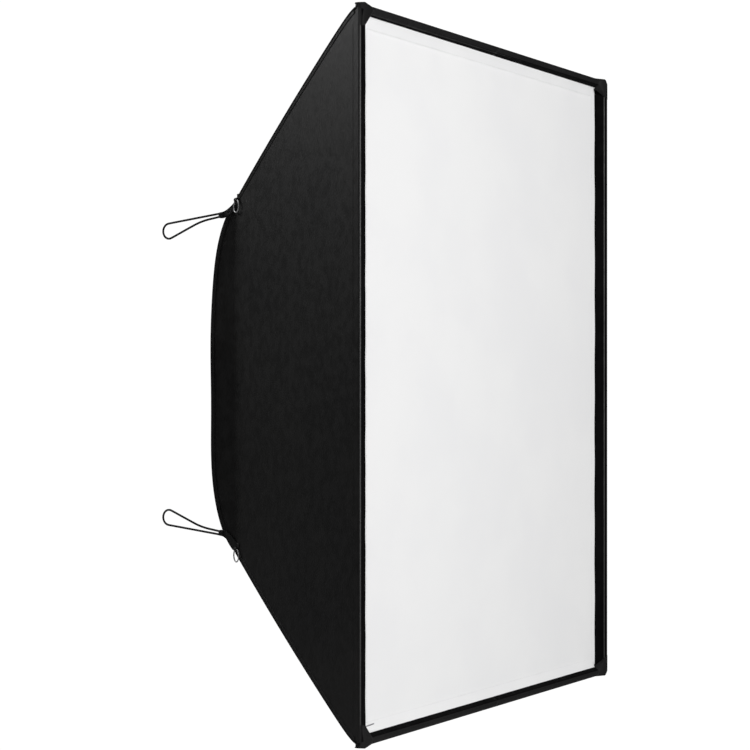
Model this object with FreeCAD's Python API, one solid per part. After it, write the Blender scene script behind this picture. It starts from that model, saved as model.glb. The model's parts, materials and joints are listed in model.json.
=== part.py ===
import FreeCAD, Part
import math
import os

os.makedirs("parts", exist_ok=True)
V = FreeCAD.Vector

# A softbox for a rectangular panel light. The open rear sits at the origin, +Z is up and the
# diffuser faces -Y. The shell is a truncated pyramid of black cloth, stretched over a jointed rod frame.

# Shell, outside
front_width = 900.0
front_height = 1200.0
depth = 450.0
rear_width = 384.0
rear_height = 656.0
seam_bow = 6.0            # how far a side panel's long seams swell outwards

# Cloth
cloth = 1.6
lining = 0.8
lining_gap = 0.5
half_gap = 0.6            # between two halves of a short side, at the crease
seam_gap = 3.0            # from a side panel's plane to the short side's cloth
panel_start = 6.0         # from a sleeve's tangent line to the free cloth
lining_inset = 6.0        # lining's edge, inside the panel's front and rear edges

# Rear skirt, which laps over the lamp
side_skirt_depth = 64.0
end_skirt_depth = 40.0
skirt_shoulder = 0.72     # share of the half height where the scallop turns in
skirt_lift = 0.94         # share of the depth left at the shoulder
skirt_turn = 0.72         # share of the depth at the middle of the turn
skirt_round = 0.06        # share of the half height by which the turn is rounded out

# Rods and fittings
rod_radius = 4.0
strut_radius = 3.0
running = 0.05            # radial clearance of every turning or sliding fit
ferrule_wall = 1.45
pin_radius = 2.5
block_wall = 3.15
block_length = 34.0
ear_wall = 4.0
ear_gap = 0.2             # between the eye and each ear
ear_thickness = 3.3
eye_thickness = 5.0
eye_wall = 3.5
swing_room = 1.0          # round the eye where it turns in the block
pivot_room = 2.8          # between the block's body and the eye
neck_room = 7.5           # between the ears' ends and the ferrule
eye_ferrule = 26.0
socket_floor = 6.0
cut_over = 1.0            # how far a cutting tool passes the face it cuts

# Knuckle in the middle of each short side
link_length = 45.0
link_ferrule = 24.0
link_half_width = 4.4
tongue_half = 1.5
fork_gap = 0.1
fork_thickness = 2.2
knuckle_pin_radius = 2.0

# Strut foot, an eye that turns on the long rod
foot_height = 14.0
foot_gap = 1.0
foot_wall = 1.5
foot_socket = 32.0
strut_wall = 1.25
sleeve_play = 0.35        # between a sleeve and the foot or ferrule inside it
lining_play = 0.3         # between a lining and the strut's socket
foot_clear = 12.0         # side sleeve and lip end this far below the foot
strut_rear_gap = 14.0     # strut end, forward of the rear opening
strut_rear_drop = 13.0    # strut end, inside the seam

# Front lip and diffuser
lip_gap = 0.4             # between a sleeve and its lip
lip_width = 10.0          # from the sleeve to the lip's inner edge
lip_thickness = 2.0
lip_back = 0.555          # backward share of the lip's slant
diffuser_thickness = 0.8
diffuser_gap = 1.8
diffuser_back = 1.0       # diffuser, forward of the lip's inner edge

# Rear corner webbing, bungee loops and steel rings
web_width = 18.0
web_thickness = 2.0
web_start = 6.0
web_back = 33.0
web_drop = 22.0
web_clear = 0.5
clip_length = 14.0
clip_thickness = 5.0
bungee_radius = 2.0
bar_radius = 12.5
bungee_reach = 162.0
bungee_drop = 14.0
bungee_bend = 93.0
bungee_bend_drop = 5.0
bungee_spread = 4.0
ring_radius = 11.75
ring_wire = 1.25
ring_loop_inner = 2.6
ring_loop_wall = 1.3
ring_loop_width = 8.0
ring_pad_extra = 3.0
ring_bridge_bite = 0.2
ring_back = 12.0          # ring hinge, forward of the rear opening
ring_off = 4.6            # ring hinge, out from the side panel
top_ring_up = 0.0         # upper rings' hinge, above the seam's end height
bottom_ring_up = 8.0      # lower rings' hinge, above the seam's end height

# Sizes that follow from what they hold
ferrule_radius = rod_radius + running + ferrule_wall
block_radius = rod_radius + running + block_wall
foot_radius = rod_radius + running + foot_wall
foot_socket_radius = strut_radius + running + strut_wall
sleeve_radius = max(foot_radius + sleeve_play + cloth,
                    cloth + lining_gap + lining + lining_play + foot_socket_radius)
eye_radius = pin_radius + eye_wall
ear_radius = pin_radius + ear_wall
ear_inner = eye_thickness / 2 + ear_gap
ear_outer = ear_inner + ear_thickness
pivot_inset = block_radius + eye_radius + pivot_room
eye_neck = ear_radius + neck_room
fork_inner = tongue_half + fork_gap
fork_outer = fork_inner + fork_thickness
lip_inner = sleeve_radius + lip_gap
lip_reach = sleeve_radius + lip_width

# Derived places
rod_x = -(front_width / 2 - sleeve_radius)
rod_y = -(depth - sleeve_radius)
bar_z = front_height / 2 - sleeve_radius
pivot_x = rod_x + pivot_inset
lip_in = math.sqrt(1 - lip_back ** 2)
foot_z = bar_z - block_length - foot_gap - foot_height / 2
sleeve_top = foot_z - foot_height / 2 - foot_clear


def tangent_angle(across, along):
    """Slant of a plane that touches the rod's sleeve and passes through a point behind it."""
    reach = math.hypot(across, along)
    return math.atan2(across, along) + math.asin(sleeve_radius / reach)


side_angle = tangent_angle(-rear_width / 2 - rod_x, -rod_y)
end_angle = tangent_angle(bar_z - rear_height / 2, -rod_y)
side_run = V(math.sin(side_angle), math.cos(side_angle), 0)
side_out = V(-math.cos(side_angle), math.sin(side_angle), 0)
end_run = V(0, math.cos(end_angle), -math.sin(end_angle))
end_out = V(0, math.sin(end_angle), math.cos(end_angle))
side_front = V(rod_x, rod_y, 0) + side_out * sleeve_radius
end_front = V(0, rod_y, bar_z) + end_out * sleeve_radius
rear_corner = V(-rear_width / 2, 0, rear_height / 2)
seam_way = end_out.cross(side_out).normalize()
if seam_way.y < 0:
    seam_way = seam_way * -1
side_length = (V(-rear_width / 2, 0, 0) - side_front).dot(side_run)
end_length = (V(0, 0, rear_height / 2) - end_front).dot(end_run)


def save(shape, node):
    shape.exportStep("parts/" + node + ".step")


def mirror_z(shape):
    return shape.mirror(V(0, 0, 0), V(0, 0, 1))


def mirror_x(shape):
    return shape.mirror(V(0, 0, 0), V(1, 0, 0))


def save_ends(shape, node):
    """Save a top left piece as a top and a bottom one, on both sides."""
    save(shape, "top_left_" + node)
    save(mirror_z(shape), "bottom_left_" + node)
    save(mirror_x(shape), "top_right_" + node)
    save(mirror_x(mirror_z(shape)), "bottom_right_" + node)


def save_sides(shape, node):
    save(shape, "left_" + node)
    save(mirror_x(shape), "right_" + node)


def slab(edges, out, thickness):
    """Closed outline in a plane, given its thickness on the inner side."""
    return Part.Face(Part.Wire(edges)).extrude(out * -thickness)


def line(start, end):
    return Part.LineSegment(start, end).toShape()


def arc(start, middle, end):
    return Part.Arc(start, middle, end).toShape()


def outline(points):
    """Straight edges through the points and back to the first."""
    return [line(a, b) for a, b in zip(points, points[1:] + points[:1])]


def rod(start, end, radius):
    way = end - start
    return Part.makeCylinder(radius, way.Length, start, way)


def tube(start, end, outer, inner):
    return rod(start, end, outer).cut(rod(start, end, inner))


def box(low, high):
    size = high - low
    return Part.makeBox(size.x, size.y, size.z, low)


def seam_at(along, inset):
    """Point of the seam at a distance along the side panel, moved inwards in its plane."""
    base = side_front + side_run * along
    height = rear_corner.z + (rear_corner - base).dot(side_run) * -seam_way.z / seam_way.dot(side_run)
    across = seam_way.dot(side_run)
    return base + V(0, 0, height - inset / across)


def seam_at_end(along, inset):
    """Point of the seam at a distance along the short side's panel, moved inwards in its plane."""
    base = end_front + end_run * along
    share = seam_way.dot(end_run)
    reach = rear_corner.x + (rear_corner - base).dot(end_run) * -seam_way.x / share
    return base + V(reach + inset / share, 0, 0)


def side_panel():
    """Side cloth with its front sleeve and the scalloped skirt behind it."""
    top = seam_at(panel_start, 0)
    rear = seam_at(side_length, 0)
    outward = side_out.cross(seam_way).normalize()
    if outward.z < 0:
        outward = outward * -1
    swell = (top + rear) * 0.5 + outward * seam_bow

    def flip(p):
        return V(p.x, p.y, -p.z)

    edges = [arc(top, swell, rear), line(rear, flip(rear)), arc(flip(rear), flip(swell), flip(top)),
             line(flip(top), top)]
    panel = slab(edges, side_out, cloth)
    tie = slab(outline([side_front + V(0, 0, z) + side_run * s for s, z in
                        [(0, sleeve_top), (panel_start + cut_over, sleeve_top),
                         (panel_start + cut_over, -sleeve_top), (0, -sleeve_top)]]), side_out, cloth)
    sleeve = tube(V(rod_x, rod_y, -sleeve_top), V(rod_x, rod_y, sleeve_top), sleeve_radius,
                  sleeve_radius - cloth)
    skirt = skirt_slab(rear_height / 2, side_skirt_depth)
    skirt.translate(V(-rear_width / 2, 0, 0))
    return panel.fuse([tie, sleeve, skirt]).removeSplitter()


def skirt_slab(half, reach):
    """Scalloped flap in the YZ plane, from the rear opening's edge backwards."""
    shoulder = half * skirt_shoulder
    lift = reach * skirt_lift
    turn_z = (half + shoulder) / 2 + skirt_round * half
    turn_y = reach * skirt_turn
    start = -cloth
    return slab([line(V(0, start, half), V(0, 0, half)),
                 arc(V(0, 0, half), V(0, turn_y, turn_z), V(0, lift, shoulder)),
                 arc(V(0, lift, shoulder), V(0, reach, 0), V(0, lift, -shoulder)),
                 arc(V(0, lift, -shoulder), V(0, turn_y, -turn_z), V(0, 0, -half)),
                 line(V(0, 0, -half), V(0, start, -half)),
                 line(V(0, start, -half), V(0, start, half))], V(-1, 0, 0), cloth)


def side_lining():
    sunk = side_out * -(cloth + lining_gap)
    first = seam_at(panel_start + lining_inset, seam_gap) + sunk
    last = seam_at(side_length - lining_inset, seam_gap) + sunk
    return slab(outline([first, last, V(last.x, last.y, -last.z), V(first.x, first.y, -first.z)]),
                side_out, lining)


def end_panel():
    """Left half of the top panel, with half of the top skirt."""
    first = seam_at_end(panel_start, seam_gap)
    last = seam_at_end(end_length, seam_gap)
    middle_x = -half_gap / 2
    panel = slab(outline([first, last, V(middle_x, last.y, last.z), V(middle_x, first.y, first.z)]),
                 end_out, cloth)
    reach = rear_width / 2 - seam_gap
    flap = skirt_slab(reach, end_skirt_depth)
    flap.rotate(V(0, 0, 0), V(0, 1, 0), 90)
    flap.translate(V(0, 0, rear_height / 2))
    keep = box(V(-rear_width, -depth, 0), V(middle_x, depth, rear_height))
    return panel.fuse(flap.common(keep)).removeSplitter()


def end_lining():
    sunk = end_out * -(cloth + lining_gap)
    edge = seam_gap + cloth + 2 * lining_gap
    first = seam_at_end(panel_start + lining_inset, edge) + sunk
    last = seam_at_end(end_length - lining_inset, edge) + sunk
    middle_x = -half_gap / 2
    return slab(outline([first, last, V(middle_x, last.y, last.z), V(middle_x, first.y, first.z)]),
                end_out, lining)


def lip_section(start, inward):
    """Sloping band beside a front rod, as the four corners of its section."""
    way = inward * lip_in + V(0, lip_back, 0)
    side = inward * lip_back - V(0, lip_in, 0)
    near = start + way * lip_inner
    far = start + way * lip_reach
    half = side * (lip_thickness / 2)
    return [near + half, far + half, far - half, near - half]


def side_lip():
    corners = lip_section(V(rod_x, rod_y, -sleeve_top), V(1, 0, 0))
    return Part.Face(Part.Wire(outline(corners))).extrude(V(0, 0, 2 * sleeve_top))


def bar_hem():
    """Cloth sleeve round a half bar, sewn to its length of front lip."""
    first = pivot_x + eye_neck
    last = -half_gap / 2
    sleeve = tube(V(first, rod_y, bar_z), V(last, rod_y, bar_z), sleeve_radius, sleeve_radius - cloth)
    start = V(first, rod_y, bar_z)
    way = V(0, lip_back, -lip_in)
    side = V(0, -lip_in, -lip_back)
    half = side * (lip_thickness / 2)
    near = start + way * (sleeve_radius - cloth / 2)
    far = start + way * lip_reach
    lip = Part.Face(Part.Wire(outline([near + half, far + half, far - half, near - half])))
    return sleeve.fuse(lip.extrude(V(last - first, 0, 0))).removeSplitter()


def long_rod():
    half = bar_z - socket_floor
    return rod(V(rod_x, rod_y, -half), V(rod_x, rod_y, half), rod_radius)


def ear(low, high):
    """One cheek of a corner block's fork, between two depths."""
    start = V(rod_x, rod_y + low, bar_z)
    plate = box(V(rod_x, rod_y + low, bar_z - ear_radius), V(pivot_x, rod_y + high, bar_z + ear_radius))
    end = Part.makeCylinder(ear_radius, high - low, V(pivot_x, start.y, bar_z), V(0, 1, 0))
    return plate.fuse(end)


def corner_block():
    body = rod(V(rod_x, rod_y, bar_z - block_length), V(rod_x, rod_y, bar_z + block_radius), block_radius)
    body = body.fuse([ear(ear_inner, ear_outer), ear(-ear_outer, -ear_inner)])
    bore = rod(V(rod_x, rod_y, bar_z - block_length - cut_over),
               V(rod_x, rod_y, bar_z - socket_floor + running), rod_radius + running)
    hole = rod(V(pivot_x, rod_y - ear_outer, bar_z), V(pivot_x, rod_y + ear_outer, bar_z), pin_radius)
    swing = Part.makeCylinder(eye_radius + swing_room, 2 * ear_inner, V(pivot_x, rod_y - ear_inner, bar_z),
                              V(0, 1, 0))
    return body.cut(bore).cut(hole).cut(swing).removeSplitter()


def pivot_pin():
    return rod(V(pivot_x, rod_y - ear_outer, bar_z), V(pivot_x, rod_y + ear_outer, bar_z), pin_radius)


def bar_eye():
    """End fitting of a half bar: an eye on the corner pin, and a ferrule for the rod."""
    centre = V(pivot_x, rod_y, bar_z)
    half = eye_thickness / 2
    eye = Part.makeCylinder(eye_radius, eye_thickness, centre - V(0, half, 0), V(0, 1, 0))
    neck = box(centre + V(0, -half, -link_half_width), centre + V(eye_neck + cut_over, half, link_half_width))
    ferrule = rod(centre + V(eye_neck, 0, 0), centre + V(eye_neck + eye_ferrule, 0, 0), ferrule_radius)
    bore = rod(centre + V(eye_neck + socket_floor - running, 0, 0),
               centre + V(eye_neck + eye_ferrule + cut_over, 0, 0), rod_radius + running)
    through = V(0, half + cut_over, 0)
    hole = rod(centre - through, centre + through, pin_radius + running)
    return eye.fuse([neck, ferrule]).cut(bore).cut(hole).removeSplitter()


def half_bar():
    start = V(pivot_x + eye_neck + socket_floor, rod_y, bar_z)
    end = V(-link_length - socket_floor, rod_y, bar_z)
    return rod(start, end, rod_radius)


def link_plate(low, high):
    """Flat link of the knuckle, from its ferrule to the pin, between two depths."""
    base = V(-link_length - cut_over, rod_y + low, bar_z - link_half_width)
    plate = box(base, V(0, rod_y + high, bar_z + link_half_width))
    end = Part.makeCylinder(link_half_width, high - low, V(0, rod_y + low, bar_z), V(0, 1, 0))
    return plate.fuse(end)


def link_socket():
    outer = rod(V(-link_length - link_ferrule, rod_y, bar_z), V(-link_length, rod_y, bar_z), ferrule_radius)
    bore = rod(V(-link_length - link_ferrule - cut_over, rod_y, bar_z),
               V(-link_length - socket_floor + running, rod_y, bar_z), rod_radius + running)
    return outer.cut(bore)


def knuckle_fork():
    plates = link_plate(fork_inner, fork_outer).fuse(link_plate(-fork_outer, -fork_inner))
    hole = rod(V(0, rod_y - fork_outer, bar_z), V(0, rod_y + fork_outer, bar_z), knuckle_pin_radius)
    return link_socket().fuse(plates).cut(hole).removeSplitter()


def knuckle_tongue():
    """Tongue half of the knuckle, on the right hand bar."""
    plate = link_plate(-tongue_half, tongue_half)
    centre = V(0, rod_y, bar_z)
    through = V(0, tongue_half + cut_over, 0)
    hole = rod(centre - through, centre + through, knuckle_pin_radius + running)
    return mirror_x(link_socket().fuse(plate).cut(hole).removeSplitter())


def knuckle_pin():
    return rod(V(0, rod_y - fork_outer, bar_z), V(0, rod_y + fork_outer, bar_z), knuckle_pin_radius)


def strut_ends():
    """Ends of a corner strut's axis, in the plane of the long rod and parallel to the side panel."""
    front = V(rod_x, rod_y, foot_z)
    rear = seam_at(side_length - strut_rear_gap, strut_rear_drop) - side_out * sleeve_radius
    return front, rear


def strut():
    front, rear = strut_ends()
    way = (rear - front).normalize()
    return rod(front + way * (ferrule_radius + socket_floor), rear, strut_radius)


def strut_foot():
    front, rear = strut_ends()
    way = (rear - front).normalize()
    low = V(rod_x, rod_y, foot_z - foot_height / 2)
    ring = rod(low, low + V(0, 0, foot_height), foot_radius)
    socket = rod(front, front + way * foot_socket, foot_socket_radius)
    bore = rod(low - V(0, 0, foot_height), low + V(0, 0, 2 * foot_height), rod_radius + running)
    strut_bore = rod(front + way * (ferrule_radius + socket_floor - running),
                     front + way * (foot_socket + cut_over), strut_radius + running)
    return ring.fuse(socket).cut(bore).cut(strut_bore).removeSplitter()


def corner_web():
    """Webbing strap on the outside of the skirt's corner, with the moulded clip at its end."""
    x = -rear_width / 2 - web_clear
    rear_z = rear_height / 2 - web_drop
    half = web_width / 2
    front_top = rear_height / 2 - web_start
    end_y = web_back - clip_length / 2
    strap = slab(outline([V(x, web_start, front_top), V(x, end_y, rear_z + half), V(x, end_y, rear_z - half),
                          V(x, web_start, front_top - 2 * web_width)]), V(1, 0, 0), web_thickness)
    clip = box(V(x - clip_thickness, end_y, rear_z - half), V(x, web_back + clip_length / 2, rear_z + half))
    return strap.fuse(clip).removeSplitter()


def bungee_points():
    """Route of a bungee loop: clip, over the lamp's bar, back round it, over the lamp's edge, clip."""
    x = -rear_width / 2 - web_clear - clip_thickness / 2
    clip_z = rear_height / 2 - web_drop
    wrap = bar_radius + bungee_radius
    clip_end = web_back + clip_length / 2
    top = V(x, clip_end, clip_z + bungee_spread)
    low = V(x, clip_end, clip_z - bungee_spread)
    bar = V(x, bungee_reach, clip_z - bungee_drop)
    bend = V(x, bungee_bend, clip_z - bungee_bend_drop)
    return top, bar, wrap, bend, low


def tangent_point(outside, centre, radius, upper):
    """Point where a line from outside touches the circle in the YZ plane."""
    away = V(0, outside.y - centre.y, outside.z - centre.z)
    base = math.atan2(away.z, away.y)
    open_angle = math.acos(radius / away.Length)
    angle = base - open_angle if upper else base + open_angle
    return V(centre.x, centre.y + radius * math.cos(angle), centre.z + radius * math.sin(angle))


def bungee_loop():
    top, bar, wrap, bend, low = bungee_points()
    on = tangent_point(top, bar, wrap, True)
    off = tangent_point(bend, bar, wrap, False)
    round_bar = V(bar.x, bar.y + wrap, bar.z)
    before = (bend - off).normalize()
    after = (low - bend).normalize()
    turn = before.getAngle(after)
    shorter = min((bend - off).Length, (low - bend).Length)
    radius = 0.45 * shorter / math.tan(turn / 2)
    print("bungee bend radius", round(radius, 1), "round the bar", round(wrap, 1))
    cut = 0.45 * shorter
    inward = (after - before).normalize()
    middle = bend + inward * (radius / math.cos(turn / 2) - radius)
    path = Part.Wire([line(top, on), arc(on, round_bar, off), line(off, bend - before * cut),
                      arc(bend - before * cut, middle, bend + after * cut), line(bend + after * cut, low)])
    section = Part.Wire([Part.makeCircle(bungee_radius, top, on - top)])
    shape = path.makePipeShell([section], True, False)
    whole = math.pi * bungee_radius ** 2 * path.Length
    print("bungee length", round(path.Length, 1), "volume share", round(shape.Volume / whole, 4))
    return shape


def ring_centre(up):
    """Hinge point of a hanging ring, above the height of the seam's end."""
    base = V(-rear_width / 2, 0, 0) - side_run * ring_back + side_out * ring_off
    return base + V(0, 0, up)


def steel_ring(up):
    hinge = ring_centre(up)
    return Part.makeTorus(ring_radius, ring_wire, hinge - V(0, 0, ring_radius), side_out)


def ring_loop(up):
    """Small webbing loop that a ring hangs in, sewn to the side panel."""
    hinge = ring_centre(up)
    half = side_run * (ring_loop_width / 2)
    outer = ring_loop_inner + ring_loop_wall
    sleeve = tube(hinge - half, hinge + half, outer, ring_loop_inner)
    across = half * 2
    base = hinge - half - side_out * (ring_off - web_clear) + V(0, 0, 1)
    pad_top = V(0, 0, outer + ring_pad_extra)
    pad = slab(outline([base, base + across, base + across + pad_top, base + pad_top]), side_out,
               -ring_loop_wall)
    bridge_top = V(0, 0, outer)
    bridge = slab(outline([base, base + across, base + across + bridge_top, base + bridge_top]), side_out,
                  -(ring_off - web_clear - ring_loop_inner - ring_bridge_bite))
    return sleeve.fuse([pad, bridge]).removeSplitter()


def diffuser():
    back = rod_y + lip_reach * lip_back - diffuser_back
    half_x = -rod_x - lip_reach * lip_in - diffuser_gap
    half_z = bar_z - lip_reach * lip_in - diffuser_gap
    return box(V(-half_x, back - diffuser_thickness, -half_z), V(half_x, back, half_z))


top_ring = rear_height / 2 + top_ring_up
bottom_ring = -rear_height / 2 + bottom_ring_up

save_sides(side_panel(), "side_panel")
save_sides(side_lining(), "side_lining")
save_sides(side_lip(), "front_lip")
save_sides(long_rod(), "long_rod")
save_sides(Part.makeCompound([pivot_pin(), mirror_z(pivot_pin())]), "corner_pins")
save_sides(Part.makeCompound([strut_foot(), mirror_z(strut_foot())]), "strut_feet")
save_sides(Part.makeCompound([ring_loop(top_ring), ring_loop(bottom_ring)]), "ring_loops")
save_sides(Part.makeCompound([corner_web(), mirror_z(corner_web())]), "corner_webbing")

save_ends(end_panel(), "gusset")
save_ends(end_lining(), "gusset_lining")
save_ends(corner_block(), "corner_block")
save_ends(half_bar(), "half_bar")
save_ends(bar_eye(), "bar_eye")
save_ends(bar_hem(), "front_hem")
save_ends(strut(), "strut")
save_ends(bungee_loop(), "bungee_loop")

save(knuckle_fork(), "top_knuckle_fork")
save(mirror_z(knuckle_fork()), "bottom_knuckle_fork")
save(knuckle_tongue(), "top_knuckle_tongue")
save(mirror_z(knuckle_tongue()), "bottom_knuckle_tongue")
save(knuckle_pin(), "top_knuckle_pin")
save(mirror_z(knuckle_pin()), "bottom_knuckle_pin")

save(steel_ring(top_ring), "top_left_ring")
save(mirror_x(steel_ring(top_ring)), "top_right_ring")
save(steel_ring(bottom_ring), "bottom_left_ring")
save(mirror_x(steel_ring(bottom_ring)), "bottom_right_ring")

save(diffuser(), "diffuser")
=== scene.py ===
"""Finished look of a collapsible softbox: cloth, webbing, cords, stitches, materials and studio."""

import json
import logging
import math
from dataclasses import dataclass, field
from enum import Enum
from typing import Dict, List, Optional, Sequence, Tuple

import bmesh
import bpy
import numpy as np
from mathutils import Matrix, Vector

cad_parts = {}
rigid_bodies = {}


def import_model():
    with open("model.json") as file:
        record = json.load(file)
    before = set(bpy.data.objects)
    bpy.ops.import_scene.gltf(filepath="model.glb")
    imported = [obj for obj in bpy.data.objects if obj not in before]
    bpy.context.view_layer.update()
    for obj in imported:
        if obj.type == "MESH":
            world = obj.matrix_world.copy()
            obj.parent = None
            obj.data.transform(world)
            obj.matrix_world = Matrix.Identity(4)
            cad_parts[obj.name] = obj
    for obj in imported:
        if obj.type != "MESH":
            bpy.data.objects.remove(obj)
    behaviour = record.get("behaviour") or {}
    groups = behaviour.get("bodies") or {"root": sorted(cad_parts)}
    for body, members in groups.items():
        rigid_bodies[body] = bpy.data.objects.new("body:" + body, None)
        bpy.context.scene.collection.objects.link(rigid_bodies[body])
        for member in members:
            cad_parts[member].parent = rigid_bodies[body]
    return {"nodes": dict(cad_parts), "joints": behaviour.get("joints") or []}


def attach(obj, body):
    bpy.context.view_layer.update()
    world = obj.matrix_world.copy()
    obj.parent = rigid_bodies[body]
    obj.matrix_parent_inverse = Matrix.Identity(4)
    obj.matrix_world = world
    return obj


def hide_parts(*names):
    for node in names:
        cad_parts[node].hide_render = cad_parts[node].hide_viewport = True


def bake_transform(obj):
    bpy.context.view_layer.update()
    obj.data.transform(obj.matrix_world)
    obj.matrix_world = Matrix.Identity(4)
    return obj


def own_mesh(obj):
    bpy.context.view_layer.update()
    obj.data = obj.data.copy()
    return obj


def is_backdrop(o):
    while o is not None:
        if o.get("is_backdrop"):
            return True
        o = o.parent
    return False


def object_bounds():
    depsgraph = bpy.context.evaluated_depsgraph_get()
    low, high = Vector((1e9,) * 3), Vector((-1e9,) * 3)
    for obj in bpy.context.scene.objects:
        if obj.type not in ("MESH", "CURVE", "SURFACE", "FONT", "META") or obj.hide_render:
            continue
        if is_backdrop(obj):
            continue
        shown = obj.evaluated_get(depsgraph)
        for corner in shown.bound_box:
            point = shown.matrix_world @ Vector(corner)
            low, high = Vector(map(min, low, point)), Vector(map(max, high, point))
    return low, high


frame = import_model()

logging.basicConfig(level=logging.INFO, format="%(levelname)s %(message)s")
log = logging.getLogger("softbox")

MM = 0.001
Array = np.ndarray


class Half(Enum):
    """One of two mirrored halves; the value multiplies a coordinate of a piece modelled at the top left."""

    @property
    def label(self) -> str:
        """Name used in bodies and pieces."""
        return self.name.lower()


class Side(Half):
    """Left or right half; the value multiplies x."""

    LEFT = 1.0
    RIGHT = -1.0

    @property
    def wing(self) -> str:
        """Body that carries the side panel."""
        return self.label + "_wing"


class End(Half):
    """Top or bottom half; the value multiplies z."""

    TOP = 1.0
    BOTTOM = -1.0

    @property
    def top(self) -> float:
        """1 for the top and 0 for the bottom."""
        return max(self.value, 0.0)


class Relief(Enum):
    """Kind of fine surface relief a finish carries."""

    NONE = "none"
    WEAVE = "weave"
    RIB = "rib"
    BRAID = "braid"
    GRAIN = "grain"
    FUZZ = "fuzz"
    BRUSHED = "brushed"


CORNERS: Tuple[Tuple[Side, End], ...] = tuple((s, e) for e in End for s in Side)


def vec(x: float, y: float, z: float) -> Array:
    """Make a float vector."""
    return np.array([x, y, z], dtype=float)


def unit(v: Array) -> Array:
    """Scale vectors to length one."""
    return v / np.maximum(np.linalg.norm(v, axis=-1, keepdims=True), 1e-12)


def mirrored(points: Array, side: Side, end: End = End.TOP) -> Array:
    """Move points modelled at the top left to another corner."""
    return points * vec(side.value, 1.0, end.value)


@dataclass(frozen=True)
class Shell:
    """Sizes of the cloth shell and its frame, in metres, and the places that follow from them."""

    front_width: float = 900 * MM
    front_height: float = 1200 * MM
    depth: float = 450 * MM
    rear_width: float = 384 * MM
    rear_height: float = 656 * MM
    bow: float = 6 * MM
    sleeve: float = 7.5 * MM
    side_skirt: float = 59 * MM
    end_skirt: float = 40 * MM
    pulled: float = 2 * MM
    skirt_upper: float = 3.8
    skirt_lower: float = 4.5
    pivot_inset: float = 16 * MM
    lip_reach: float = 17.5 * MM
    lip_back: float = 0.555
    cloth: float = 0.5 * MM
    seam_gap: float = 3 * MM
    lining_depth: float = 2.1 * MM
    lining: float = 0.3 * MM
    folded: float = 0.165
    corner_dip: float = 7 * MM
    corner_run: float = 0.035

    def slant(self, across: float, along: float) -> float:
        """Slant of a plane that touches the sleeve and passes through a point behind it."""
        return math.atan2(across, along) + math.asin(self.sleeve / math.hypot(across, along))

    @property
    def rod_x(self) -> float:
        """Left long rod's x."""
        return -(self.front_width / 2 - self.sleeve)

    @property
    def rod_y(self) -> float:
        """Front rods' y."""
        return -(self.depth - self.sleeve)

    @property
    def bar_z(self) -> float:
        """Top bars' z."""
        return self.front_height / 2 - self.sleeve

    @property
    def pivot_x(self) -> float:
        """Left corner pin's x."""
        return self.rod_x + self.pivot_inset

    @property
    def lip_in(self) -> float:
        """Inward share of the lip's slant."""
        return math.sqrt(1 - self.lip_back ** 2)

    @property
    def side_run(self) -> Array:
        """Direction backwards in the left panel."""
        a = self.slant(-self.rear_width / 2 - self.rod_x, -self.rod_y)
        return vec(math.sin(a), math.cos(a), 0)

    @property
    def side_out(self) -> Array:
        """Outward normal of the left panel."""
        run = self.side_run
        return vec(-run[1], run[0], 0)

    @property
    def end_run(self) -> Array:
        """Direction backwards in the top panel."""
        a = self.slant(self.bar_z - self.rear_height / 2, -self.rod_y)
        return vec(0, math.cos(a), -math.sin(a))

    @property
    def end_out(self) -> Array:
        """Outward normal of the top panel."""
        run = self.end_run
        return vec(0, -run[2], run[1])

    @property
    def side_front(self) -> Array:
        """Where the left panel leaves its sleeve, at mid height."""
        return vec(self.rod_x, self.rod_y, 0) + self.side_out * self.sleeve

    @property
    def end_front(self) -> Array:
        """Where the top panel leaves its sleeve, at mid width."""
        return vec(0, self.rod_y, self.bar_z) + self.end_out * self.sleeve

    @property
    def rear_corner(self) -> Array:
        """Top left corner of the rear opening."""
        return vec(-self.rear_width / 2, 0, self.rear_height / 2)

    @property
    def seam_way(self) -> Array:
        """Direction of the top left seam, backwards."""
        way = unit(np.cross(self.end_out, self.side_out))
        return way if way[1] > 0 else -way

    @property
    def side_length(self) -> float:
        """Length of the left panel from sleeve to rear edge."""
        return float((vec(-self.rear_width / 2, 0, 0) - self.side_front) @ self.side_run)

    def seam(self, t: Array, inset: float = 0.0) -> Array:
        """Points of the bowed top left seam.

        Args:
            t: shares of the way from the sleeve to the rear edge.
            inset: distance from the seam, down the side panel.

        Returns:
            Points, one per share.
        """
        t = np.atleast_1d(t)
        reach = self.side_length / float(self.seam_way @ self.side_run)
        base = self.rear_corner - np.outer((1 - t) * reach, self.seam_way)
        swell = self.bow * 4 * t * (1 - t) - inset - self.corner_dip * np.exp(-t / self.corner_run)
        return base + np.outer(swell, self.seam_up)

    @property
    def seam_up(self) -> Array:
        """Direction in the left panel's plane, square to the seam and outwards."""
        up = unit(np.cross(self.side_out, self.seam_way))
        return up if up[2] > 0 else -up

    def top_rise(self, x: Array) -> Array:
        """How much higher the diffuser's upper edge is pulled towards the left."""
        return self.pulled * np.clip(0.5 - x / self.front_width, 0, 1)

    def skirt(self, share: Array, reach: float) -> Array:
        """Depth of a skirt's scalloped edge."""
        power = np.where(share > 0, self.skirt_upper, self.skirt_lower)
        return reach * np.maximum(1 - np.abs(share) ** power, 0) ** 0.8


SHELL = Shell()


# --------------------------------------------------------------------------------------------
# Materials


@dataclass(frozen=True)
class Finish:
    """One procedural material."""

    name: str
    colour: Tuple[float, float, float]
    shade: Tuple[float, float, float]
    roughness: Tuple[float, float]
    relief: Relief = Relief.NONE
    pitch: float = 0.6 * MM
    bump: float = 0.3
    metallic: float = 0.0
    specular: float = 0.5
    sheen: float = 0.0
    sheen_roughness: float = 0.4
    coat: float = 0.0
    patch: float = 6.0
    anisotropy: float = 0.0
    relief_depth: float = 0.4


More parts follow.
